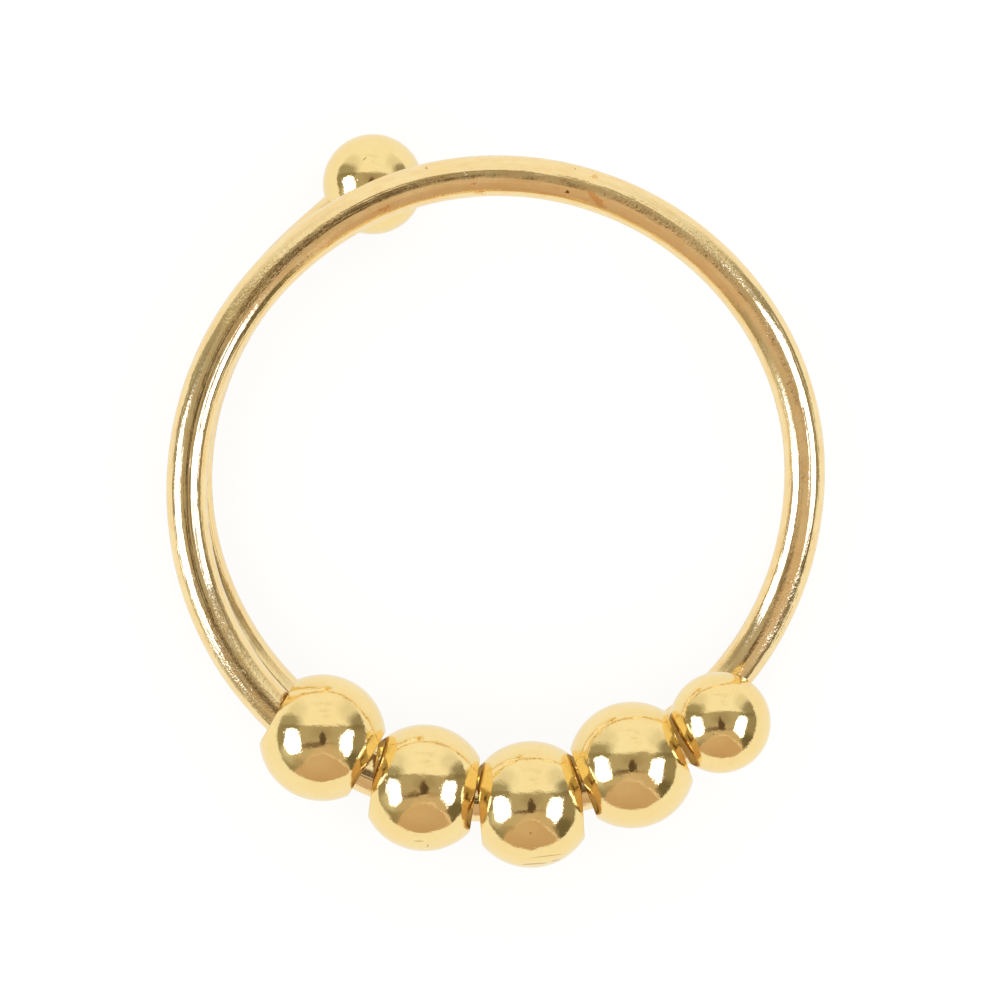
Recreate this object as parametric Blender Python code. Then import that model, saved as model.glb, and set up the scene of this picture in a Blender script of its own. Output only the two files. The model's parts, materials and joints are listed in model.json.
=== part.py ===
"""Fidget ring: one round wire wound a turn and a half around the finger, a ball fixed on each of its ends,
and four loose beads that slide and spin on it between the balls.

Metres, +Z up.  The ring lies on its side on the ground plane, in the pose in which it rests by itself.
It is built about its own axis first: the front turn lies in the plane of zero height, the back turn below
it, and bearings are counted anticlockwise from +X, seen from above.
"""

import math
from collections import namedtuple

import bmesh
import bpy
from mathutils import Matrix, Vector

MM = 0.001

# Wire.
WIRE_RADIUS = 0.645 * MM
WIRE_SIDES_RESOLUTION = 6          # a curve's bevel of this resolution has 16 sides
FIRST_BEARING_DEG = 313.35         # where the winding starts, at the front ball
WHOLE_WINDING_DEG = 560.85         # clockwise, from the centre of the front ball to that of the back ball
STATION_STEP_DEG = 4.0
BALL_SEARCH_STEP_DEG = 0.1         # finds where the wire comes out of a ball

# The wire's distance from the ring's axis along the winding.  Both ends run straight on into their balls,
# and the back turn is pressed in a little where it passes below the beads.
WindingRow = namedtuple("WindingRow", "wound_deg radius_mm")
WINDING = (
    WindingRow(0.0, 10.145),
    WindingRow(5.0, 9.98),
    WindingRow(10.0, 9.885),
    WindingRow(16.0, 9.86),
    WindingRow(95.0, 9.90),
    WindingRow(140.0, 9.825),
    WindingRow(185.0, 9.805),
    WindingRow(212.0, 9.86),
    WindingRow(280.0, 9.855),
    WindingRow(300.0, 9.795),
    WindingRow(320.0, 9.65),
    WindingRow(345.0, 9.54),
    WindingRow(375.0, 9.465),
    WindingRow(437.0, 9.465),
    WindingRow(464.0, 9.575),
    WindingRow(494.0, 9.79),
    WindingRow(523.0, 9.905),
    WindingRow(536.0, 9.945),
    WindingRow(548.0, 10.075),
    WindingRow(WHOLE_WINDING_DEG, 10.505),
)

# The wire's height.  The front and the back turn are flat.  The single strand opposite the beads slopes from
# one to the other, ever steeper until it levels out above the start of the back turn.
TURN_DROP_MM = 3.15
DescentRow = namedtuple("DescentRow", "wound_deg height_mm")
DESCENT = (
    DescentRow(0.0, 0.0),
    DescentRow(183.0, 0.0),
    DescentRow(200.0, -0.04),
    DescentRow(217.0, -0.19),
    DescentRow(243.0, -0.60),
    DescentRow(272.0, -1.17),
    DescentRow(298.0, -1.78),
    DescentRow(315.0, -2.24),
    DescentRow(329.0, -2.67),
    DescentRow(341.0, -2.97),
    DescentRow(352.0, -3.105),
    DescentRow(365.0, -TURN_DROP_MM),
    DescentRow(WHOLE_WINDING_DEG, -TURN_DROP_MM),
)

# End balls: half-drilled, each pushed over one end of the wire.
BALL_RADIUS = 1.6 * MM
BALL_FIT_GAP = 0.03 * MM           # between the wire and the wall and floor of the ball's hole
BALL_ARC_STEPS = 14

# Loose beads: spheres with a wide hole right through, and a narrow flat rim around each of its mouths.
BEAD_RADIUS = 2.0 * MM
BEAD_HALF_LENGTH = 1.62 * MM
BEAD_HOLE_RADIUS = 1.02 * MM
BEAD_ARC_STEPS = 12

# Turned pieces.
ROUND_SIDES = 32
MERGE_DISTANCE = 0.001 * MM
SHARP_ANGLE_DEG = 35.0             # edges sharper than this are shaded as edges

# Places of the beads, which lie a little askew in the play of their holes.
BeadRow = namedtuple("BeadRow", "name bearing_deg radius_mm axis_deg hang_mm")
BEADS = (
    BeadRow("bead_1", 234.72, 9.63, -30.5, 0.15),
    BeadRow("bead_2", 255.95, 9.73, -8.0, 0.18),
    BeadRow("bead_3", 275.75, 10.01, 4.0, 0.08),
    BeadRow("bead_4", 295.62, 9.67, 21.5, 0.15),
)

# At rest the ball on the back end holds one side up, so the ring's axis leans from the vertical.
LEAN_DEG = 2.85
LEAN_BEARING_DEG = 272.7

GOLD_COLOUR = (0.93, 0.70, 0.32, 1.0)
GOLD_ROUGHNESS = 0.12


def clear_scene():
    for old in list(bpy.data.objects):
        bpy.data.objects.remove(old, do_unlink=True)


def through_rows(rows, wound_deg):
    """What the rows' second column comes to at wound_deg, on a monotone cubic, in metres."""
    slopes = [(b[1] - a[1]) / (b[0] - a[0]) for a, b in zip(rows, rows[1:])]
    tangents = [slopes[0]]
    for before, after in zip(slopes, slopes[1:]):
        same_way = before * after > 0
        tangents.append(2 * before * after / (before + after) if same_way else 0.0)
    tangents.append(slopes[-1])
    last = len(slopes) - 1
    index = min(sum(1 for row in rows[1:] if row[0] <= wound_deg), last)
    (start_deg, start), (end_deg, end) = rows[index], rows[index + 1]
    span = end_deg - start_deg
    s = (wound_deg - start_deg) / span
    value = (
        start * (1 + 2 * s) * (1 - s) ** 2
        + end * (3 - 2 * s) * s ** 2
        + span * tangents[index] * s * (1 - s) ** 2
        - span * tangents[index + 1] * (1 - s) * s ** 2
    )
    return value * MM


def winding_point(wound_deg):
    """A point on the wire's centre line."""
    bearing = math.radians(FIRST_BEARING_DEG - wound_deg)
    radius = through_rows(WINDING, wound_deg)
    return Vector((radius * math.cos(bearing), radius * math.sin(bearing), through_rows(DESCENT, wound_deg)))


def winding_step_out_of_ball(end_deg, direction):
    """Degrees of winding, counted from a ball's centre, at which the wire is just clear of the ball."""
    step = 0.0
    centre = winding_point(end_deg)
    while (winding_point(end_deg + direction * step) - centre).length < BALL_RADIUS:
        step += BALL_SEARCH_STEP_DEG
    return step


def gold():
    material = bpy.data.materials.new("polished_gold")
    material.use_nodes = True
    shader = material.node_tree.nodes["Principled BSDF"]
    shader.inputs["Base Color"].default_value = GOLD_COLOUR
    shader.inputs["Metallic"].default_value = 1.0
    shader.inputs["Roughness"].default_value = GOLD_ROUGHNESS
    return material


def ring_empty():
    """The empty on the ring's axis, in the plane of the front turn, which carries every piece."""
    empty = bpy.data.objects.new("ring_axis", None)
    bpy.context.collection.objects.link(empty)
    return empty


def add_piece(name, data, parent):
    piece = bpy.data.objects.new(name, data)
    bpy.context.collection.objects.link(piece)
    piece.parent = parent
    data.materials.append(gold())
    return piece


def make_wire(parent):
    """The wire as a bevelled curve.  It runs straight from the centre of each ball to outside it."""
    first = winding_step_out_of_ball(0.0, 1)
    last = WHOLE_WINDING_DEG - winding_step_out_of_ball(WHOLE_WINDING_DEG, -1)
    steps = round((last - first) / STATION_STEP_DEG)
    wound = [first + (last - first) * i / steps for i in range(steps + 1)]
    points = [winding_point(w) for w in [0.0, *wound, WHOLE_WINDING_DEG]]

    curve = bpy.data.curves.new("ring_wire", "CURVE")
    curve.dimensions = "3D"
    curve.bevel_depth = WIRE_RADIUS
    curve.bevel_resolution = WIRE_SIDES_RESOLUTION
    curve.use_fill_caps = True
    spline = curve.splines.new("POLY")
    spline.points.add(len(points) - 1)
    for station, point in zip(spline.points, points):
        station.co = (*point, 1.0)
    return add_piece("ring_wire", curve, parent)


def turned_mesh(name, profile, closed):
    """Spins a profile of (along the axis, from the axis) points about the mesh's own X axis."""
    bm = bmesh.new()
    verts = [bm.verts.new((along, out, 0.0)) for along, out in profile]
    edges = [bm.edges.new(pair) for pair in zip(verts, verts[1:])]
    if closed:
        edges.append(bm.edges.new((verts[-1], verts[0])))
    bmesh.ops.spin(
        bm, geom=verts + edges, cent=(0, 0, 0), axis=(1, 0, 0),
        angle=2 * math.pi, steps=ROUND_SIDES, use_merge=True,
    )
    bmesh.ops.remove_doubles(bm, verts=bm.verts, dist=MERGE_DISTANCE)
    bmesh.ops.recalc_face_normals(bm, faces=bm.faces)
    mesh = bpy.data.meshes.new(name)
    bm.to_mesh(mesh)
    bm.free()
    mesh.shade_smooth()
    mesh.set_sharp_from_angle(angle=math.radians(SHARP_ANGLE_DEG))
    return mesh


def arc(radius, start, end, steps):
    angles = [start + (end - start) * i / steps for i in range(steps + 1)]
    return [(radius * math.cos(a), radius * math.sin(a)) for a in angles]


def make_ball(name, end_deg, direction, parent):
    """A ball at one end of the wire, with its hole facing along the wire's last straight stretch."""
    hole_radius = WIRE_RADIUS + BALL_FIT_GAP
    mouth_angle = math.asin(hole_radius / BALL_RADIUS)
    profile = [(-BALL_RADIUS, 0.0)]
    profile += arc(BALL_RADIUS, math.pi, mouth_angle, BALL_ARC_STEPS)[1:]
    profile += [(-BALL_FIT_GAP, hole_radius), (-BALL_FIT_GAP, 0.0)]
    ball = add_piece(name, turned_mesh(name, profile, closed=False), parent)

    centre = winding_point(end_deg)
    step = winding_step_out_of_ball(end_deg, direction)
    towards_wire = winding_point(end_deg + direction * step) - centre
    ball.location = centre
    ball.rotation_euler = towards_wire.to_track_quat("X", "Z").to_euler()
    return ball


def make_bead(row, parent):
    """A loose bead, with its origin at its centre and its hole along its own X axis."""
    rim_angle = math.acos(BEAD_HALF_LENGTH / BEAD_RADIUS)
    profile = arc(BEAD_RADIUS, rim_angle, math.pi - rim_angle, BEAD_ARC_STEPS)
    profile += [(-BEAD_HALF_LENGTH, BEAD_HOLE_RADIUS), (BEAD_HALF_LENGTH, BEAD_HOLE_RADIUS)]
    bead = add_piece(row.name, turned_mesh(row.name, profile, closed=True), parent)

    bearing = math.radians(row.bearing_deg)
    radius = row.radius_mm * MM
    bead.location = (radius * math.cos(bearing), radius * math.sin(bearing), -row.hang_mm * MM)
    bead.rotation_euler = (0.0, 0.0, math.radians(row.axis_deg))
    return bead


def world_corners(pieces):
    """Lowest and highest corner of the pieces as they stand."""
    bpy.context.view_layer.update()
    depsgraph = bpy.context.evaluated_depsgraph_get()
    points = []
    for piece in pieces:
        evaluated = piece.evaluated_get(depsgraph)
        mesh = evaluated.to_mesh()
        points += [piece.matrix_world @ vertex.co for vertex in mesh.vertices]
        evaluated.to_mesh_clear()
    low = Vector([min(point[i] for point in points) for i in range(3)])
    high = Vector([max(point[i] for point in points) for i in range(3)])
    return low, high


def lay_down(empty, pieces):
    """Leans the ring as it rests, and stands its box on the ground, centred on the origin."""
    lean, bearing = math.radians(LEAN_DEG), math.radians(LEAN_BEARING_DEG)
    up = Vector((0.0, 0.0, 1.0))
    level = math.sin(lean)
    axis = Vector((level * math.cos(bearing), level * math.sin(bearing), math.cos(lean)))
    turn = up.rotation_difference(axis).to_matrix().to_4x4()
    empty.matrix_world = turn
    low, high = world_corners(pieces)
    middle = (low + high) / 2
    empty.matrix_world = Matrix.Translation((-middle.x, -middle.y, -low.z)) @ turn


clear_scene()
ring = ring_empty()
parts = [
    make_wire(ring),
    make_ball("end_ball_front", 0.0, 1, ring),
    make_ball("end_ball_back", WHOLE_WINDING_DEG, -1, ring),
]
parts += [make_bead(row, ring) for row in BEADS]
lay_down(ring, parts)
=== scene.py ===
"""Fidget ring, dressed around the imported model: the polished gold wire, the balls on its two ends and the
four loose beads, on a pale floor.  Metres, +Z up.
"""

import json
import math
from collections import namedtuple

import bmesh
import bpy
from mathutils import Matrix, Vector


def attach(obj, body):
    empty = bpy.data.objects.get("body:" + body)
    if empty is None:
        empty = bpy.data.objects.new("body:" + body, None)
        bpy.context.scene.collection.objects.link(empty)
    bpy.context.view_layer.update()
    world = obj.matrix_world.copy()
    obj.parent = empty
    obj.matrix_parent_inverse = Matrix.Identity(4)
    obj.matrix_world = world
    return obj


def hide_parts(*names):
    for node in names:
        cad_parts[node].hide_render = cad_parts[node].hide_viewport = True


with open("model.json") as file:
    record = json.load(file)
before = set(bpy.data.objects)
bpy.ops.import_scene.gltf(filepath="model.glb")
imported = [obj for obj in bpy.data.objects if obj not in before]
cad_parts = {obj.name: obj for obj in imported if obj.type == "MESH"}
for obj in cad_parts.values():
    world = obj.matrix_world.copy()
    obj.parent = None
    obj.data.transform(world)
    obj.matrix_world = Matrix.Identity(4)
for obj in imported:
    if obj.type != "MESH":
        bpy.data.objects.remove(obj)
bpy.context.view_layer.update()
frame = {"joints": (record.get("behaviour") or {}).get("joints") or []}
MM = 0.001


# ---------------------------------------------------------------------------------------------------------
# The ring as it lies.  It is shaped about its own axis, with the front turn in the plane of zero height and
# bearings counted anticlockwise from +X, and is then laid on its side, where the ball on the back end tips
# it a little.  The first bead slides about the ring's axis, so its joint gives that axis and the centre.

slide_joint = next(joint for joint in frame["joints"] if joint["name"] == "bead_1_slide")
ring_axis = -Vector(slide_joint["axis"]).normalized()
ring_lean = Vector((0.0, 0.0, 1.0)).rotation_difference(ring_axis).to_matrix().to_4x4()
ring_place = Matrix.Translation(slide_joint["pos_m"]) @ ring_lean


# ---------------------------------------------------------------------------------------------------------
# Wire.  One length of hard brass wire, drawn round through a die, wound a turn and a half on a mandrel and
# plated.  Drawing leaves fine lines along it, and wear leaves pits, scratches and a few spots of tarnish.

WIRE_RADIUS = 0.645 * MM
WIRE_SIDES = 56
WIRE_STEP_DEG = 1.25
FIRST_BEARING_DEG = 313.35
WHOLE_WINDING_DEG = 560.85
END_BALL_RADIUS = 1.6 * MM
BALL_SEARCH_STEP_DEG = 0.1
SHARP_ANGLE_DEG = 50.0

WindingRow = namedtuple("WindingRow", "wound_deg radius_mm")
WINDING = (
    WindingRow(0.0, 10.145),
    WindingRow(5.0, 9.98),
    WindingRow(10.0, 9.885),
    WindingRow(16.0, 9.86),
    WindingRow(95.0, 9.90),
    WindingRow(140.0, 9.825),
    WindingRow(185.0, 9.805),
    WindingRow(212.0, 9.86),
    WindingRow(280.0, 9.855),
    WindingRow(300.0, 9.795),
    WindingRow(320.0, 9.65),
    WindingRow(345.0, 9.54),
    WindingRow(375.0, 9.465),
    WindingRow(437.0, 9.465),
    WindingRow(464.0, 9.575),
    WindingRow(494.0, 9.79),
    WindingRow(523.0, 9.905),
    WindingRow(536.0, 9.945),
    WindingRow(548.0, 10.075),
    WindingRow(WHOLE_WINDING_DEG, 10.505),
)

TURN_DROP_MM = 3.15
DescentRow = namedtuple("DescentRow", "wound_deg height_mm")
DESCENT = (
    DescentRow(0.0, 0.0),
    DescentRow(183.0, 0.0),
    DescentRow(200.0, -0.04),
    DescentRow(217.0, -0.19),
    DescentRow(243.0, -0.60),
    DescentRow(272.0, -1.17),
    DescentRow(298.0, -1.78),
    DescentRow(315.0, -2.24),
    DescentRow(329.0, -2.67),
    DescentRow(341.0, -2.97),
    DescentRow(352.0, -3.105),
    DescentRow(365.0, -TURN_DROP_MM),
    DescentRow(WHOLE_WINDING_DEG, -TURN_DROP_MM),
)


def through_rows(rows, wound_deg):
    """What the rows' second column comes to at wound_deg, on a monotone cubic, in metres."""
    slopes = [(b[1] - a[1]) / (b[0] - a[0]) for a, b in zip(rows, rows[1:])]
    tangents = [slopes[0]]
    for before, after in zip(slopes, slopes[1:]):
        same_way = before * after > 0
        tangents.append(2 * before * after / (before + after) if same_way else 0.0)
    tangents.append(slopes[-1])
    last = len(slopes) - 1
    index = min(sum(1 for row in rows[1:] if row[0] <= wound_deg), last)
    (start_deg, start), (end_deg, end) = rows[index], rows[index + 1]
    span = end_deg - start_deg
    s = (wound_deg - start_deg) / span
    value = (
        start * (1 + 2 * s) * (1 - s) ** 2
        + end * (3 - 2 * s) * s ** 2
        + span * tangents[index] * s * (1 - s) ** 2
        - span * tangents[index + 1] * (1 - s) * s ** 2
    )
    return value * MM


def winding_point(wound_deg):
    """A point on the wire's centre line, in the ring's own frame."""
    bearing = math.radians(FIRST_BEARING_DEG - wound_deg)
    radius = through_rows(WINDING, wound_deg)
    return Vector((radius * math.cos(bearing), radius * math.sin(bearing), through_rows(DESCENT, wound_deg)))


def step_out_of_ball(end_deg, direction):
    """Degrees of winding, counted from a ball's centre, at which the wire is just clear of the ball."""
    step = 0.0
    centre = winding_point(end_deg)
    while (winding_point(end_deg + direction * step) - centre).length < END_BALL_RADIUS:
        step += BALL_SEARCH_STEP_DEG
    return step


Station = namedtuple("Station", "wound_deg place run")


def wire_stations():
    """Places along the wire: Z along it, X away from the ring's axis; and the length run at each."""
    first = step_out_of_ball(0.0, 1)
    last = WHOLE_WINDING_DEG - step_out_of_ball(WHOLE_WINDING_DEG, -1)
    steps = round((last - first) / WIRE_STEP_DEG)
    wound = [0.0] + [first + (last - first) * i / steps for i in range(steps + 1)] + [WHOLE_WINDING_DEG]
    points = [winding_point(w) for w in wound]
    stations, run = [], 0.0
    for i, point in enumerate(points):
        before, after = points[max(i - 1, 0)], points[min(i + 1, len(points) - 1)]
        along = (after - before).normalized()
        out = Vector((point.x, point.y, 0.0))
        out = (out - along * out.dot(along)).normalized()
        turn = Matrix((out, along.cross(out), along)).transposed().to_4x4()
        if i:
            run += (point - points[i - 1]).length
        stations.append(Station(wound[i], ring_place @ Matrix.Translation(point) @ turn, run))
    return stations


STATIONS = wire_stations()


def run_at(wound_deg):
    """Length of wire, in millimetres, from its front end to wound_deg."""
    after = next(i for i, station in enumerate(STATIONS) if i and station.wound_deg >= wound_deg)
    start, end = STATIONS[after - 1], STATIONS[after]
    share = (wound_deg - start.wound_deg) / (end.wound_deg - start.wound_deg)
    return (start.run + share * (end.run - start.run)) / MM


def drawn_wire():
    """The wire's mesh.  Its attribute straight_mm holds where each point was before the wire was wound."""
    bm = bmesh.new()
    straight = bm.verts.layers.float_vector.new("straight_mm")
    start = bmesh.ops.create_circle(
        bm, cap_ends=True, radius=WIRE_RADIUS, segments=WIRE_SIDES, matrix=STATIONS[0].place,
    )
    ring_verts = start["verts"]
    ring_edges = [edge for edge in bm.edges if len(edge.link_faces) == 1]
    for before, station in zip([None] + STATIONS, STATIONS):
        if before:
            grown = bmesh.ops.extrude_edge_only(bm, edges=ring_edges)["geom"]
            ring_verts = [item for item in grown if isinstance(item, bmesh.types.BMVert)]
            new_verts = set(ring_verts)
            ring_edges = [
                item for item in grown
                if isinstance(item, bmesh.types.BMEdge) and new_verts.issuperset(item.verts)
            ]
            bmesh.ops.transform(bm, matrix=station.place @ before.place.inverted(), verts=ring_verts)
        to_straight = station.place.inverted()
        for vert in ring_verts:
            across = to_straight @ vert.co
            vert[straight] = Vector((across.x, across.y, station.run)) / MM
    bmesh.ops.contextual_create(bm, geom=ring_edges)
    bmesh.ops.recalc_face_normals(bm, faces=bm.faces)
    mesh = bpy.data.meshes.new("gold_wire")
    bm.to_mesh(mesh)
    bm.free()
    return mesh


def add_piece(name, mesh, body, node, material):
    """A finished piece, in place of its plain solid."""
    piece = bpy.data.objects.new(name, mesh)
    bpy.context.collection.objects.link(piece)
    mesh.materials.append(material)
    mesh.shade_smooth()
    mesh.set_sharp_from_angle(angle=math.radians(SHARP_ANGLE_DEG))
    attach(piece, body)
    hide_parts(node)


NOISE_MIDDLE = 0.5


def set_inputs(tree, node, inputs):
    """Gives each input its value, or joins another node's output to it."""
    for key, value in inputs.items():
        if isinstance(value, bpy.types.NodeSocket):
            tree.links.new(value, node.inputs[key])
        else:
            node.inputs[key].default_value = value


def add_node(tree, kind, inputs=None, **settings):
    """One shader node."""
    made = tree.nodes.new("ShaderNode" + kind)
    for name, value in settings.items():
        setattr(made, name, value)
    set_inputs(tree, made, inputs or {})
    return made


def work_out(tree, operation, *values):
    """The result of one step of arithmetic."""
    return add_node(tree, "Math", dict(enumerate(values)), operation=operation).outputs[0]


def vector_step(tree, operation, *values):
    """The result of one step of vector arithmetic."""
    return add_node(tree, "VectorMath", dict(enumerate(values)), operation=operation).outputs[0]


def ramp(tree, value, start, end):
    """0 up to start, 1 from end on, smooth between; end may be the lower one."""
    inputs = {0: value, 1: start, 2: end, 3: 0.0, 4: 1.0}
    return add_node(tree, "MapRange", inputs, interpolation_type="SMOOTHSTEP").outputs[0]


def mix_colours(tree, share, first, second):
    """The first colour, with the second laid over it by its share."""
    return add_node(tree, "Mix", {0: share, 6: first, 7: second}, data_type="RGBA").outputs[2]


def add_up(tree, *heights):
    """The sum of the heights."""
    total = heights[0]
    for height in heights[1:]:
        total = work_out(tree, "ADD", total, height)
    return total


def unsettle(tree, place, scale, reach):
    """The place, pushed about by up to half the reach, so that nothing laid there has a straight edge."""
    push = add_node(tree, "TexNoise", {"Vector": place, "Scale": scale, "Detail": 3.0}).outputs["Color"]
    push = vector_step(tree, "SUBTRACT", push, (NOISE_MIDDLE, NOISE_MIDDLE, NOISE_MIDDLE))
    return vector_step(tree, "MULTIPLY_ADD", push, reach, place)


def new_group(name, inputs, outputs):
    """An empty node group with its named sockets, and the nodes that stand for them inside it."""
    group = bpy.data.node_groups.new(name, "ShaderNodeTree")
    for side, sockets in (("INPUT", inputs), ("OUTPUT", outputs)):
        for socket_name, kind in sockets:
            group.interface.new_socket(socket_name, in_out=side, socket_type="NodeSocket" + kind)
    return group, group.nodes.new("NodeGroupInput").outputs, group.nodes.new("NodeGroupOutput").inputs


def use_group(tree, group, inputs):
    """A node group placed in a material with its own values."""
    made = tree.nodes.new("ShaderNodeGroup")
    made.node_tree = group
    set_inputs(tree, made, inputs)
    return made.outputs


def grain_group():
    """Uneven grain of one size, drawn out along Z: its height in millimetres, and a mask of its ridges."""
    group, given, result = new_group(
        "metal_grain",
        [("Place mm", "Vector"), ("Size mm", "Float"), ("Stretch", "Float"), ("Height mm", "Float")],
        [("Height mm", "Float"), ("Ridge", "Float")],
    )
    across = work_out(group, "DIVIDE", 1.0, given["Size mm"])
    along = work_out(group, "DIVIDE", across, given["Stretch"])
    scale = add_node(group, "CombineXYZ", {"X": across, "Y": across, "Z": along}).outputs[0]
    place = vector_step(group, "MULTIPLY", given["Place mm"], scale)
    noise = add_node(group, "TexNoise", {"Vector": place, "Scale": 1.0, "Detail": 2.0, "Roughness": 0.55})
    centred = work_out(group, "SUBTRACT", noise.outputs["Fac"], NOISE_MIDDLE)
    group.links.new(work_out(group, "MULTIPLY", centred, given["Height mm"]), result["Height mm"])
    ridge = ramp(group, noise.outputs["Fac"], start=0.60, end=0.72)
    group.links.new(ridge, result["Ridge"])
    return group


def pit_group():
    """Scattered round pits: 1 in the middle of each pit, 0 outside it."""
    group, given, result = new_group(
        "small_pits",
        [("Place mm", "Vector"), ("Spacing mm", "Float"), ("Radius mm", "Float"), ("Share", "Float")],
        [("Pit", "Float")],
    )
    across = work_out(group, "DIVIDE", 1.0, given["Spacing mm"])
    cells = add_node(group, "TexVoronoi", {"Vector": given["Place mm"], "Scale": across})
    reach = work_out(group, "MULTIPLY", given["Radius mm"], across)
    near = ramp(group, cells.outputs["Distance"], start=reach, end=0.0)
    pick = add_node(group, "SeparateColor", {0: cells.outputs["Color"]}).outputs[0]
    kept = work_out(group, "LESS_THAN", pick, given["Share"])
    group.links.new(work_out(group, "MULTIPLY", near, kept), result["Pit"])
    return group


def mark_group():
    """One scratch or stain: 1 inside an oval around Middle mm, whose long half is its third half size."""
    group, given, result = new_group(
        "single_mark",
        [("Place mm", "Vector"), ("Middle mm", "Vector"), ("Turn", "Vector"), ("Half Size mm", "Vector")],
        [("Mark", "Float")],
    )
    offset = vector_step(group, "SUBTRACT", given["Place mm"], given["Middle mm"])
    turned_back = add_node(
        group, "VectorRotate", {"Vector": offset, "Rotation": given["Turn"]},
        rotation_type="EULER_XYZ", invert=True,
    )
    share = vector_step(group, "DIVIDE", turned_back.outputs[0], given["Half Size mm"])
    reach = add_node(group, "VectorMath", {0: share}, operation="LENGTH").outputs["Value"]
    group.links.new(ramp(group, reach, start=1.15, end=0.75), result["Mark"])
    return group


MOTTLE_SQUEEZE = (1.0, 1.0, 0.4)
MOTTLE_ORANGE = (0.93, 0.655, 0.30, 1.0)
TARNISH_ORANGE = (0.84, 0.46, 0.14, 1.0)
# Brown for dirt, also used for the painted shade around the beads' holes where the beads touch.
DIRT_AND_SHADE_BROWN = (0.30, 0.14, 0.045, 1.0)


def tone_group():
    """The plating's colour.  It drifts between two golds, is mottled in small flecks that are drawn out
    along Z, and turns orange where it is tarnished and brown where there is dirt and painted shade."""
    group, given, result = new_group(
        "plating_tone",
        [("Place mm", "Vector"), ("Gold", "Color"), ("Warm Gold", "Color"), ("Mottle", "Float"),
         ("Tarnish", "Float"), ("Dirt And Shade", "Float")],
        [("Color", "Color")],
    )
    drift = add_node(group, "TexNoise", {"Vector": given["Place mm"], "Scale": 0.9, "Detail": 3.0})
    share = ramp(group, drift.outputs["Fac"], start=0.35, end=0.70)
    colour = mix_colours(group, share, given["Gold"], given["Warm Gold"])
    drawn_out = vector_step(group, "MULTIPLY", given["Place mm"], MOTTLE_SQUEEZE)
    flecks = add_node(group, "TexNoise", {
        "Vector": drawn_out, "Scale": 5.0, "Detail": 3.0, "Roughness": 0.65})
    fleck = ramp(group, flecks.outputs["Fac"], start=0.40, end=0.66)
    mottle = work_out(group, "MULTIPLY", fleck, given["Mottle"])
    colour = mix_colours(group, mottle, colour, MOTTLE_ORANGE)
    colour = mix_colours(group, given["Tarnish"], colour, TARNISH_ORANGE)
    colour = mix_colours(group, given["Dirt And Shade"], colour, DIRT_AND_SHADE_BROWN)
    group.links.new(colour, result["Color"])
    return group


METAL_GRAIN = grain_group()
SMALL_PITS = pit_group()
SINGLE_MARK = mark_group()
PLATING_TONE = tone_group()
BLACK = (0.0, 0.0, 0.0, 1.0)
# The painted glow that stands in for light after many bounces between the polished pieces.
PAINTED_BOUNCE_GLOW = (0.34, 0.36, 0.60, 1.0)
LAST_BOUNCE = 2.5


def new_metal(name, roughness):
    """A material of polished metal, its node tree and its shader."""
    material = bpy.data.materials.new(name)
    material.use_nodes = True
    tree = material.node_tree
    shader = tree.nodes["Principled BSDF"]
    shader.inputs["Metallic"].default_value = 1.0
    shader.inputs["Roughness"].default_value = roughness
    shader.inputs["Emission Strength"].default_value = 1.0
    return material, tree, shader


def colour_metal(tree, shader, colour):
    """Gives the metal its colour.  Light that has gone back and forth between the polished pieces more than
    LAST_BOUNCE times is painted in as an even glow, in place of the light that further bounces would bring."""
    bounces = add_node(tree, "LightPath").outputs["Glossy Depth"]
    deep = work_out(tree, "GREATER_THAN", bounces, LAST_BOUNCE)
    tree.links.new(mix_colours(tree, deep, colour, BLACK), shader.inputs["Base Color"])
    tree.links.new(mix_colours(tree, deep, BLACK, PAINTED_BOUNCE_GLOW), shader.inputs["Emission Color"])


def roughen_metal(tree, shader, height_mm):
    """Gives the metal its fine relief."""
    bump = add_node(tree, "Bump", {"Height": height_mm, "Distance": MM, "Strength": 1.0})
    tree.links.new(bump.outputs[0], shader.inputs["Normal"])


GrainRow = namedtuple("GrainRow", "size_mm stretch height_mm")


def lay_grain(tree, place, row):
    """One grain laid over the metal: its height and its ridges."""
    return use_group(tree, METAL_GRAIN, {
        "Place mm": place, "Size mm": row.size_mm, "Stretch": row.stretch, "Height mm": row.height_mm})


PALE_GOLD = (0.985, 0.795, 0.43, 1.0)
DEEPER_GOLD = (0.975, 0.76, 0.385, 1.0)
WIRE_ROUGHNESS = 0.135
WIRE_MOTTLE = 0.5
WIRE_FLATS = GrainRow(0.26, 45.0, 0.030)
WIRE_LINES = GrainRow(0.075, 55.0, 0.0065)
WIRE_GRAIN = GrainRow(0.085, 1.6, 0.005)
WIRE_PEEL = GrainRow(0.07, 1.4, 0.011)
WIRE_WAVES = GrainRow(0.8, 2.5, 0.045)
LINE_TARNISH = 0.16
STAIN_TARNISH = 0.75
WIRE_PIT_DIRT = 0.25
PIT_DEPTH_MM = 0.003
NICK_DEPTH_MM = 0.004
WIRE_MARK_DEPTH_MM = 0.5
FRAY_SCALE = 9.0
FRAY_REACH_MM = (0.26, 0.0, 0.34)

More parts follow.
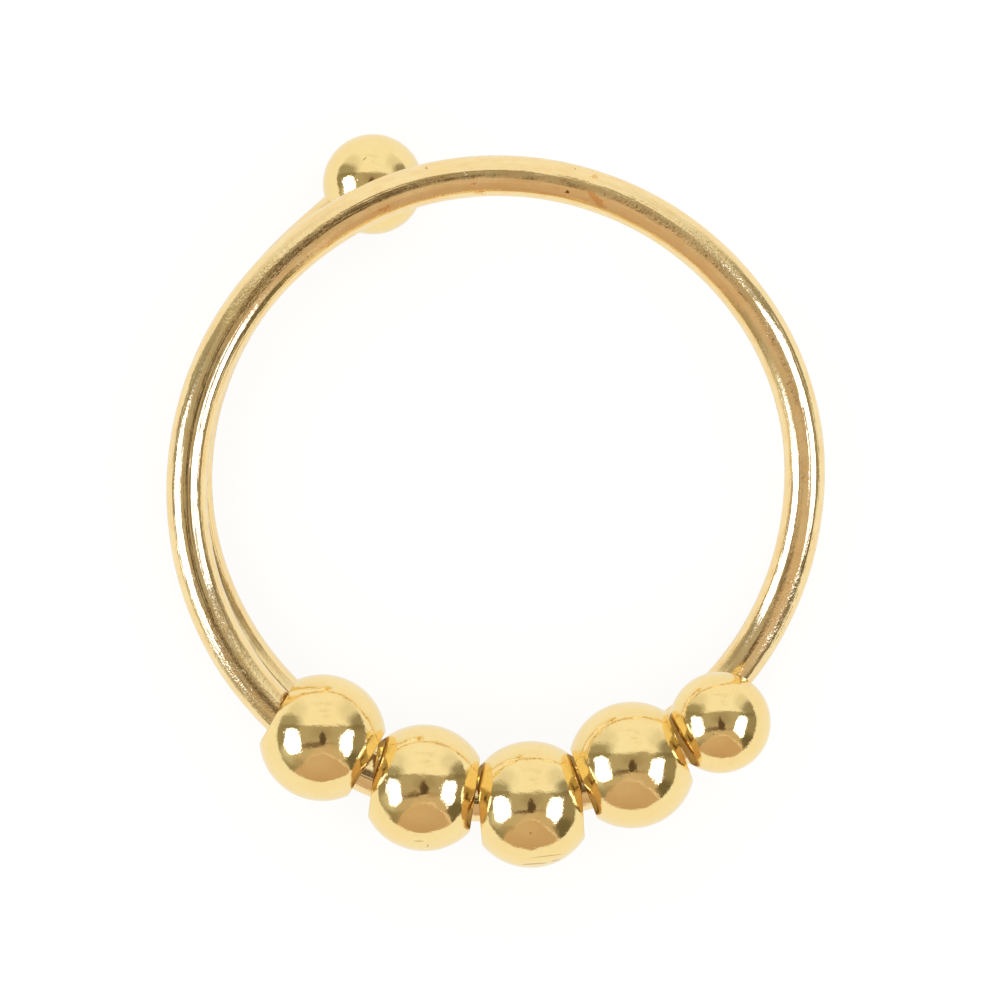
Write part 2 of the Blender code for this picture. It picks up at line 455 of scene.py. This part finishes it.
# Marks on the side of the wire that faces up: how far round they are, how far out from the wire's middle,
# and how they are turned from its length.  There are stains, specks of dirt, nicks, and wide patches where
# the plating has a rougher grain.
MarkRow = namedtuple("MarkRow", "wound_deg across_mm turn_deg half_length_mm half_width_mm")
WIRE_TARNISH = (
    MarkRow(200.9, -0.33, 0.0, 0.20, 0.05),
    MarkRow(218.3, -0.24, 10.0, 0.12, 0.04),
    MarkRow(219.6, -0.53, 0.0, 0.22, 0.035),
    MarkRow(234.9, 0.04, 0.0, 0.09, 0.035),
    MarkRow(240.0, 0.41, 20.0, 0.13, 0.05),
    MarkRow(241.6, -0.25, -24.0, 0.43, 0.10),
)
WIRE_DIRT = (
    MarkRow(210.4, 0.49, 60.0, 0.05, 0.02),
    MarkRow(236.0, -0.27, 0.0, 0.05, 0.04),
    MarkRow(236.5, 0.49, 0.0, 0.04, 0.03),
)
WIRE_NICKS = (
    MarkRow(98.6, 0.14, 45.0, 0.30, 0.020),
    MarkRow(98.9, -0.34, 80.0, 0.15, 0.022),
    MarkRow(103.8, 0.25, 75.0, 0.15, 0.022),
    MarkRow(217.0, 0.03, 85.0, 0.15, 0.022),
    MarkRow(276.5, 0.44, -50.0, 0.12, 0.020),
    MarkRow(282.1, 0.02, -20.0, 0.23, 0.018),
    MarkRow(302.8, 0.47, 75.0, 0.08, 0.030),
)
WIRE_PEEL_PATCHES = (
    MarkRow(96.0, 0.0, 0.0, 3.0, 0.60),
    MarkRow(178.0, 0.15, 0.0, 3.0, 0.35),
    MarkRow(259.0, 0.15, 0.0, 2.7, 0.40),
    MarkRow(337.0, 0.25, 0.0, 1.6, 0.40),
)


def wire_marks(tree, place, rows):
    """All the marks of one kind: 1 inside them."""
    marks = 0.0
    for row in rows:
        up = math.sqrt((WIRE_RADIUS / MM) ** 2 - row.across_mm ** 2)
        mark = use_group(tree, SINGLE_MARK, {
            "Place mm": place,
            "Middle mm": (row.across_mm, up, run_at(row.wound_deg)),
            "Turn": (0.0, math.radians(row.turn_deg), 0.0),
            "Half Size mm": (row.half_width_mm, WIRE_MARK_DEPTH_MM, row.half_length_mm),
        })["Mark"]
        marks = work_out(tree, "MAXIMUM", marks, mark)
    return marks


def wire_gold():
    """Drawn wire, plated: lines along it, grain, a few pits, and the marks of wear."""
    material, tree, shader = new_metal("gold_wire", WIRE_ROUGHNESS)
    straight = add_node(tree, "Attribute", attribute_name="straight_mm").outputs["Vector"]
    frayed = unsettle(tree, straight, FRAY_SCALE, FRAY_REACH_MM)
    lines = lay_grain(tree, straight, WIRE_LINES)
    pits = use_group(tree, SMALL_PITS, {
        "Place mm": straight, "Spacing mm": 0.40, "Radius mm": 0.045, "Share": 0.22})["Pit"]
    peel = lay_grain(tree, straight, WIRE_PEEL)["Height mm"]
    height = add_up(
        tree,
        lay_grain(tree, straight, WIRE_FLATS)["Height mm"],
        lines["Height mm"],
        lay_grain(tree, straight, WIRE_GRAIN)["Height mm"],
        lay_grain(tree, straight, WIRE_WAVES)["Height mm"],
        work_out(tree, "MULTIPLY", peel, wire_marks(tree, straight, WIRE_PEEL_PATCHES)),
        work_out(tree, "MULTIPLY", pits, -PIT_DEPTH_MM),
        work_out(tree, "MULTIPLY", wire_marks(tree, frayed, WIRE_NICKS), -NICK_DEPTH_MM),
    )
    streaks = work_out(tree, "MULTIPLY", lines["Ridge"], LINE_TARNISH)
    stains = work_out(tree, "MULTIPLY", wire_marks(tree, frayed, WIRE_TARNISH), STAIN_TARNISH)
    pit_dirt = work_out(tree, "MULTIPLY", pits, WIRE_PIT_DIRT)
    tone = use_group(tree, PLATING_TONE, {
        "Place mm": straight, "Gold": PALE_GOLD, "Warm Gold": DEEPER_GOLD, "Mottle": WIRE_MOTTLE,
        "Tarnish": work_out(tree, "MAXIMUM", streaks, stains),
        "Dirt And Shade": work_out(tree, "MAXIMUM", pit_dirt, wire_marks(tree, frayed, WIRE_DIRT)),
    })
    colour_metal(tree, shader, tone["Color"])
    roughen_metal(tree, shader, height)
    return material


add_piece("gold_wire", drawn_wire(), "ring", "ring_wire", wire_gold())


# ---------------------------------------------------------------------------------------------------------
# End balls.  Solid gold-plated brass balls, turned and tumble-polished, each drilled half-way and fixed on
# one end of the wire so that the beads can't come off.

BALL_FIT_GAP = 0.03 * MM
ROUND_STEPS = 128
ARC_STEPS = 56
MERGE_DISTANCE = 0.0005 * MM


def turned(name, profile, closed, place):
    """A turned piece: its profile of (along, out) points spun about X, and laid in place.  Its attribute
    own_mm keeps each point's place in the piece's own frame."""
    bm = bmesh.new()
    own = bm.verts.layers.float_vector.new("own_mm")
    verts = [bm.verts.new((along, out, 0.0)) for along, out in profile]
    edges = [bm.edges.new(pair) for pair in zip(verts, verts[1:])]
    if closed:
        edges.append(bm.edges.new((verts[-1], verts[0])))
    bmesh.ops.spin(
        bm, geom=verts + edges, cent=(0, 0, 0), axis=(1, 0, 0),
        angle=2 * math.pi, steps=ROUND_STEPS, use_merge=True,
    )
    bmesh.ops.remove_doubles(bm, verts=bm.verts, dist=MERGE_DISTANCE)
    for vert in bm.verts:
        vert[own] = vert.co / MM
    bmesh.ops.transform(bm, matrix=place, verts=bm.verts)
    bmesh.ops.recalc_face_normals(bm, faces=bm.faces)
    mesh = bpy.data.meshes.new(name)
    bm.to_mesh(mesh)
    bm.free()
    return mesh


def arc(centre, radius, start, end, steps):
    """Points along an arc, from its start angle to its end angle."""
    angles = [start + (end - start) * i / steps for i in range(steps + 1)]
    return [(centre[0] + radius * math.cos(a), centre[1] + radius * math.sin(a)) for a in angles]


def end_ball(name, end_deg, direction):
    """A half-drilled ball, with the hole facing along the wire's last straight stretch."""
    hole_radius = WIRE_RADIUS + BALL_FIT_GAP
    mouth_angle = math.asin(hole_radius / END_BALL_RADIUS)
    profile = [(-END_BALL_RADIUS, 0.0)]
    profile += arc((0, 0), END_BALL_RADIUS, math.pi, mouth_angle, ARC_STEPS)[1:]
    profile += [(-BALL_FIT_GAP, hole_radius), (-BALL_FIT_GAP, 0.0)]
    centre = winding_point(end_deg)
    towards_wire = winding_point(end_deg + direction * step_out_of_ball(end_deg, direction)) - centre
    turn = towards_wire.to_track_quat("X", "Z").to_matrix().to_4x4()
    return turned(name, profile, False, ring_place @ Matrix.Translation(centre) @ turn)


# The loose beads' narrow flats and wide holes, around which dirt gathers and shade is painted where the beads
# touch.
BEAD_HALF_LENGTH = 1.62 * MM
BEAD_HOLE_RADIUS = 1.02 * MM

GOLD = (0.975, 0.78, 0.37, 1.0)
WARM_GOLD = (0.97, 0.75, 0.335, 1.0)
BALL_ROUGHNESS = 0.055
BALL_MOTTLE = 0.2
BALL_GRAIN = GrainRow(0.06, 1.0, 0.0022)
BALL_LUMPS = GrainRow(0.45, 1.0, 0.006)
BALL_WAVES = GrainRow(1.3, 1.0, 0.045)
BALL_PIT_DIRT = 0.35
BALL_MARK_DIRT = 0.55
BALL_MARK_DEPTH_MM = 0.8
# How much darker brown lies around the beads' holes: partly dirt, partly painted shade where the beads touch.
MOUTH_DIRT_AND_SHADE = 0.75

# Small marks on the balls' upper sides: where they are in the ring's own frame, and how they are turned.
BallMarkRow = namedtuple("BallMarkRow", "x_mm y_mm z_mm turn_deg half_length_mm half_width_mm")
BALL_DIRT = (
    BallMarkRow(1.11, -11.80, 0.6, 4.0, 0.43, 0.020),
    BallMarkRow(1.49, -11.55, 0.8, 7.0, 0.55, 0.014),
    BallMarkRow(1.79, -11.69, 0.6, 11.0, 0.18, 0.016),
    BallMarkRow(0.99, -10.79, 1.7, 0.0, 0.035, 0.035),
    BallMarkRow(-2.52, -11.07, 1.0, 0.0, 0.17, 0.018),
    BallMarkRow(-2.24, -11.22, 0.9, 60.0, 0.06, 0.025),
    BallMarkRow(-4.26, 10.46, -1.7, 42.0, 0.09, 0.025),
)


def ball_marks(tree, place):
    """All the balls' marks, as a share of dirt."""
    marks = 0.0
    for row in BALL_DIRT:
        middle = ring_place @ (Vector((row.x_mm, row.y_mm, row.z_mm)) * MM) / MM
        mark = use_group(tree, SINGLE_MARK, {
            "Place mm": place,
            "Middle mm": middle,
            "Turn": (0.0, 0.0, math.radians(row.turn_deg)),
            "Half Size mm": (row.half_length_mm, row.half_width_mm, BALL_MARK_DEPTH_MM),
        })["Mark"]
        marks = work_out(tree, "MAXIMUM", marks, mark)
    return work_out(tree, "MULTIPLY", marks, BALL_MARK_DIRT)


def both_ways(tree, first, second):
    """The whole distance to a point that is this far off in two directions, square to each other."""
    squares = [work_out(tree, "MULTIPLY", way, way) for way in (first, second)]
    return work_out(tree, "SQRT", work_out(tree, "ADD", *squares))


def bead_gold():
    """Turned and tumbled metal, plated: a bright polish over fine grain, with a few pits and small marks, and
    dirt with painted shade on the narrow flats around the beads' holes, where the beads touch."""
    material, tree, shader = new_metal("gold_bead", BALL_ROUGHNESS)
    laid = add_node(tree, "TexCoord").outputs["Object"]
    laid_mm = add_node(tree, "VectorMath", {0: laid, "Scale": 1 / MM}, operation="SCALE").outputs[0]
    pits = use_group(tree, SMALL_PITS, {
        "Place mm": laid_mm, "Spacing mm": 0.32, "Radius mm": 0.04, "Share": 0.22})["Pit"]
    height = add_up(
        tree,
        lay_grain(tree, laid_mm, BALL_GRAIN)["Height mm"],
        lay_grain(tree, laid_mm, BALL_LUMPS)["Height mm"],
        lay_grain(tree, laid_mm, BALL_WAVES)["Height mm"],
        work_out(tree, "MULTIPLY", pits, -PIT_DEPTH_MM),
    )
    own = add_node(tree, "Attribute", attribute_name="own_mm").outputs["Vector"]
    along, side, up = add_node(tree, "SeparateXYZ", {0: own}).outputs
    out = both_ways(tree, side, up)
    # Darker brown on the narrow flats and lips around the holes: partly dirt, partly painted shade where the
    # beads touch one another.
    from_flat = work_out(tree, "SUBTRACT", work_out(tree, "ABSOLUTE", along), BEAD_HALF_LENGTH / MM)
    from_hole = work_out(tree, "SUBTRACT", out, BEAD_HOLE_RADIUS / MM)
    near_mouth = ramp(tree, both_ways(tree, from_flat, from_hole), start=0.20, end=0.10)
    mouth_dirt_and_shade = work_out(tree, "MULTIPLY", near_mouth, MOUTH_DIRT_AND_SHADE)
    pit_dirt = work_out(tree, "MULTIPLY", pits, BALL_PIT_DIRT)
    dirt_and_shade = work_out(tree, "MAXIMUM", pit_dirt, mouth_dirt_and_shade)
    tone = use_group(tree, PLATING_TONE, {
        "Place mm": laid_mm, "Gold": GOLD, "Warm Gold": WARM_GOLD, "Mottle": BALL_MOTTLE, "Tarnish": 0.0,
        "Dirt And Shade": work_out(tree, "MAXIMUM", dirt_and_shade, ball_marks(tree, laid_mm)),
    })
    colour_metal(tree, shader, tone["Color"])
    roughen_metal(tree, shader, height)
    return material


BEAD_GOLD = bead_gold()
for node, end_deg, direction in (("end_ball_front", 0.0, 1), ("end_ball_back", WHOLE_WINDING_DEG, -1)):
    name = "gold_" + node
    add_piece(name, end_ball(name, end_deg, direction), "ring", node, BEAD_GOLD)


# ---------------------------------------------------------------------------------------------------------
# Loose beads.  Round gold-plated beads, each with a wide hole right through and a narrow flat around each
# mouth.  They are threaded on the front turn, hang a little in the play of their holes, and slide and spin.

BEAD_RADIUS = 2.0 * MM
BEAD_EDGE_RADIUS = 0.05 * MM
EDGE_STEPS = 5

BeadRow = namedtuple("BeadRow", "name body bearing_deg radius_mm axis_deg hang_mm")
BEADS = (
    BeadRow("bead_1", "first_bead", 234.72, 9.63, -30.5, 0.15),
    BeadRow("bead_2", "second_bead", 255.95, 9.73, -8.0, 0.18),
    BeadRow("bead_3", "third_bead", 275.75, 10.01, 4.0, 0.08),
    BeadRow("bead_4", "fourth_bead", 295.62, 9.67, 21.5, 0.15),
)


def loose_bead(row):
    """A bead, with the edges between its round side, its flats and its hole rounded."""
    flat_reach = BEAD_HALF_LENGTH - BEAD_EDGE_RADIUS
    edge_out = math.sqrt((BEAD_RADIUS - BEAD_EDGE_RADIUS) ** 2 - flat_reach ** 2)
    edge_angle = math.atan2(edge_out, flat_reach)
    hole_edge = (-flat_reach, BEAD_HOLE_RADIUS + BEAD_EDGE_RADIUS)
    mouth = arc((-flat_reach, edge_out), BEAD_EDGE_RADIUS, math.pi - edge_angle, math.pi, EDGE_STEPS)[1:]
    mouth += arc(hole_edge, BEAD_EDGE_RADIUS, math.pi, 1.5 * math.pi, EDGE_STEPS)
    profile = arc((0, 0), BEAD_RADIUS, edge_angle, math.pi - edge_angle, ARC_STEPS)
    profile += mouth
    profile += [(-along, out) for along, out in reversed(mouth)]
    bearing = math.radians(row.bearing_deg)
    radius = row.radius_mm * MM
    centre = Vector((radius * math.cos(bearing), radius * math.sin(bearing), -row.hang_mm * MM))
    turn = Matrix.Rotation(math.radians(row.axis_deg), 4, "Z")
    return turned("gold_" + row.name, profile, True, ring_place @ Matrix.Translation(centre) @ turn)


for row in BEADS:
    add_piece("gold_" + row.name, loose_bead(row), row.body, row.name, BEAD_GOLD)


# ---------------------------------------------------------------------------------------------------------
# Floor, studio and camera.  A pale floor, in a cream-walled studio with two windows of light, left and
# right of the camera, which looks straight down the ring's axis.

FLOOR_HALF = 1.5
FLOOR_WHITE = (1.0, 0.985, 0.96, 1.0)
SEEN_GLOW = 1.06
REFLECTED_GLOW = 0.96
SHADOW_DEPTH = 0.14
SHADOW_REACH = 6.0 * MM

bm = bmesh.new()
bmesh.ops.create_grid(bm, x_segments=1, y_segments=1, size=FLOOR_HALF)
floor_mesh = bpy.data.meshes.new("floor")
bm.to_mesh(floor_mesh)
bm.free()
floor = bpy.data.objects.new("floor", floor_mesh)
bpy.context.collection.objects.link(floor)
floor_white = bpy.data.materials.new("floor_white")
floor_white.use_nodes = True
tree = floor_white.node_tree
shader = tree.nodes["Principled BSDF"]
shader.inputs["Base Color"].default_value = BLACK
shader.inputs["Specular IOR Level"].default_value = 0.0
shader.inputs["Emission Color"].default_value = FLOOR_WHITE
openness = add_node(tree, "AmbientOcclusion", {"Distance": SHADOW_REACH}, samples=8).outputs["AO"]
shade = work_out(tree, "MULTIPLY_ADD", openness, SHADOW_DEPTH, 1 - SHADOW_DEPTH)
seen = add_node(tree, "LightPath").outputs["Is Camera Ray"]
glow = work_out(tree, "MULTIPLY_ADD", seen, SEEN_GLOW - REFLECTED_GLOW, REFLECTED_GLOW)
tree.links.new(work_out(tree, "MULTIPLY", glow, shade), shader.inputs["Emission Strength"])
floor_mesh.materials.append(floor_white)

# The studio, laid out as a polished ball shows it: across and up run from -1 to 1, and the horizon is at
# 0.71 from the middle.  Each zone is an upright oval (power 2), or else a shape that can lean, pointed at a
# low power and nearer to a box at a high one.  It is laid over those before it.
ZoneRow = namedtuple("ZoneRow", "across up half_across half_up lean_deg power soft share colour")
DARK_ROOM = (0.32, 0.285, 0.205)
WINDOW_LIGHT = (2.7, 3.0, 4.6)
ZONES = (
    # The cream wall and ceiling, their dimmer corners, and four thin seams in the ceiling.
    ZoneRow(0.0, 1.21, 1.6, 1.0, 0, 8, 0.012, 1.0, (0.97, 0.95, 0.90)),
    ZoneRow(-0.53, 0.26, 0.20, 0.11, 0, 2, 0.45, 0.85, (0.27, 0.24, 0.16)),
    ZoneRow(0.58, 0.28, 0.16, 0.13, 0, 2, 0.45, 0.85, (0.20, 0.17, 0.11)),
    ZoneRow(0.42, 0.43, 0.14, 0.15, 0, 2, 0.70, 0.33, (0.45, 0.43, 0.37)),
    ZoneRow(-0.43, 0.42, 0.16, 0.15, 0, 2, 0.70, 0.33, (0.45, 0.42, 0.34)),
    ZoneRow(0.0, 0.56, 0.18, 0.010, 0, 2, 0.50, 0.30, (0.50, 0.42, 0.30)),
    ZoneRow(0.10, 0.52, 0.06, 0.008, 0, 2, 0.60, 0.45, (0.55, 0.44, 0.30)),
    ZoneRow(0.04, 0.43, 0.07, 0.008, 0, 2, 0.60, 0.45, (0.55, 0.44, 0.30)),
    ZoneRow(0.08, 0.37, 0.05, 0.007, 0, 2, 0.60, 0.40, (0.55, 0.44, 0.30)),
    # The darker lower corner on the right.
    ZoneRow(0.50, -0.42, 0.20, 0.20, 0, 2, 0.40, 0.9, (0.15, 0.13, 0.08)),
    # The front of the ceiling, behind the camera.
    ZoneRow(0.0, 0.00, 0.37, 0.215, 0, 6, 0.05, 1.0, (0.47, 0.42, 0.33)),
    ZoneRow(0.0, 0.09, 0.17, 0.11, 0, 2, 0.50, 0.7, (0.36, 0.30, 0.22)),
    # The pale edge of the table, and the tan table front.
    ZoneRow(0.05, -0.72, 0.40, 0.64, 0, 2, 0.10, 0.9, (0.64, 0.51, 0.41)),
    ZoneRow(0.01, -0.75, 0.500, 0.535, 0, 1.7, 0.014, 1.0, (0.86, 0.73, 0.62)),
    ZoneRow(-0.01, -0.75, 0.490, 0.515, 0, 1.7, 0.010, 1.0, (0.59, 0.43, 0.315)),
    ZoneRow(-0.12, -0.34, 0.26, 0.14, 0, 2, 0.70, 0.5, (0.68, 0.53, 0.41)),
    ZoneRow(0.0, -0.74, 0.42, 0.14, 0, 2, 0.60, 0.6, (0.53, 0.36, 0.245)),
    # The camera and its arm.
    ZoneRow(-0.27, -0.135, 0.10, 0.030, 0, 2, 0.50, 0.70, (0.20, 0.14, 0.09)),
    ZoneRow(-0.13, -0.095, 0.12, 0.034, 0, 2, 0.40, 0.85, (0.15, 0.095, 0.06)),
    ZoneRow(0.13, -0.10, 0.09, 0.024, 0, 2, 0.50, 0.55, (0.34, 0.23, 0.14)),
    ZoneRow(0.005, -0.035, 0.066, 0.082, 0, 4, 0.15, 0.95, (0.095, 0.062, 0.04)),
    ZoneRow(-0.005, 0.06, 0.050, 0.075, 0, 1.2, 0.30, 0.95, (0.11, 0.075, 0.048)),
    # The two windows of light, with a glow behind the foot of the left one and a dimmer streak in it, and the
    # tan shapes that cut off their lower inner corners.
    ZoneRow(-0.50, -0.20, 0.13, 0.14, 0, 2, 0.60, 0.6, (0.95, 0.95, 0.88)),
    ZoneRow(-0.455, -0.07, 0.115, 0.195, -6, 4, 0.05, 1.0, WINDOW_LIGHT),
    ZoneRow(-0.49, -0.17, 0.012, 0.075, 0, 2, 0.30, 0.8, (1.0, 0.95, 0.80)),
    ZoneRow(-0.30, -0.24, 0.10, 0.075, 48, 8, 0.06, 1.0, (0.55, 0.47, 0.36)),
    ZoneRow(0.385, -0.08, 0.105, 0.205, 10, 4, 0.05, 1.0, WINDOW_LIGHT),
    ZoneRow(0.24, -0.23, 0.10, 0.10, -42, 8, 0.06, 1.0, (0.60, 0.49, 0.38)),
)


def zone_mask(tree, place, row):
    """The zone's share inside it, and 0 outside it."""
    if row.power == 2:
        scale = (1 / row.half_across, 1 / row.half_up, 0.0)
        to_middle = (-row.across / row.half_across, -row.up / row.half_up, 0.0)
        scaled = vector_step(tree, "MULTIPLY_ADD", place, scale, to_middle)
        reach = add_node(tree, "VectorMath", {0: scaled}, operation="LENGTH").outputs["Value"]
    else:
        lean = math.tan(math.radians(row.lean_deg))
        axes = ((1 / row.half_across, -lean / row.half_across), (0.0, 1 / row.half_up))
        powers = []
        for a, b in axes:
            offset = -(a * row.across + b * row.up)
            share = add_node(tree, "VectorMath", {0: place, 1: (a, b, offset)}, operation="DOT_PRODUCT")
            distance = work_out(tree, "ABSOLUTE", share.outputs["Value"])
            powers.append(work_out(tree, "POWER", distance, row.power))
        reach = work_out(tree, "POWER", work_out(tree, "ADD", *powers), 1 / row.power)
    inputs = {0: reach, 1: 1 + row.soft, 2: 1 - row.soft, 3: 0.0, 4: row.share}
    return add_node(tree, "MapRange", inputs, interpolation_type="SMOOTHSTEP").outputs[0]


RIPPLE_SCALE = 7.0
RIPPLE_REACH = (0.035, 0.035, 0.0)
ABOVE_ZERO = 0.0001


def build_studio():
    """The room, painted on the world in the ring's own directions."""
    world = bpy.data.worlds.new("studio")
    bpy.context.scene.world = world
    world.use_nodes = True
    tree = world.node_tree
    tree.nodes.clear()
    direction = add_node(tree, "TexCoord").outputs["Generated"]
    turned_back = add_node(tree, "Mapping", {
        "Vector": direction, "Rotation": ring_lean.inverted().to_euler()}, vector_type="VECTOR")
    x, y, z = add_node(tree, "SeparateXYZ", {0: turned_back.outputs[0]}).outputs

    # A ball shows a direction where its surface faces half-way between that direction and straight up.
    lifted = work_out(tree, "ADD", z, 1 + ABOVE_ZERO)
    length = work_out(tree, "SQRT", work_out(tree, "MULTIPLY", lifted, 2.0))
    across = work_out(tree, "DIVIDE", x, length)
    up = work_out(tree, "DIVIDE", y, length)
    place = add_node(tree, "CombineXYZ", {"X": across, "Y": up, "Z": 1.0}).outputs[0]
    place = unsettle(tree, place, RIPPLE_SCALE, RIPPLE_REACH)

    colour = (*DARK_ROOM, 1.0)
    for row in ZONES:
        colour = mix_colours(tree, zone_mask(tree, place, row), colour, (*row.colour, 1.0))
    background = add_node(tree, "Background", {"Color": colour, "Strength": 1.0})
    add_node(tree, "OutputWorld", {"Surface": background.outputs[0]})


build_studio()

CAMERA_HEIGHT = 250.0 * MM
CAMERA_RIGHT = 0.0315 * MM
CAMERA_DOWN = 0.3686 * MM
FRAME_WIDTH = 31.5 * MM
SENSOR_WIDTH = 36.0

camera_data = bpy.data.cameras.new("camera")
camera_data.sensor_width = SENSOR_WIDTH
camera_data.lens = SENSOR_WIDTH * CAMERA_HEIGHT / FRAME_WIDTH
camera_data.clip_start = 0.01
camera_data.clip_end = 10.0
camera = bpy.data.objects.new("camera", camera_data)
bpy.context.collection.objects.link(camera)
camera.matrix_world = ring_place @ Matrix.Translation((CAMERA_RIGHT, -CAMERA_DOWN, CAMERA_HEIGHT))
bpy.context.scene.camera = camera
bpy.context.scene.view_settings.view_transform = "Standard"
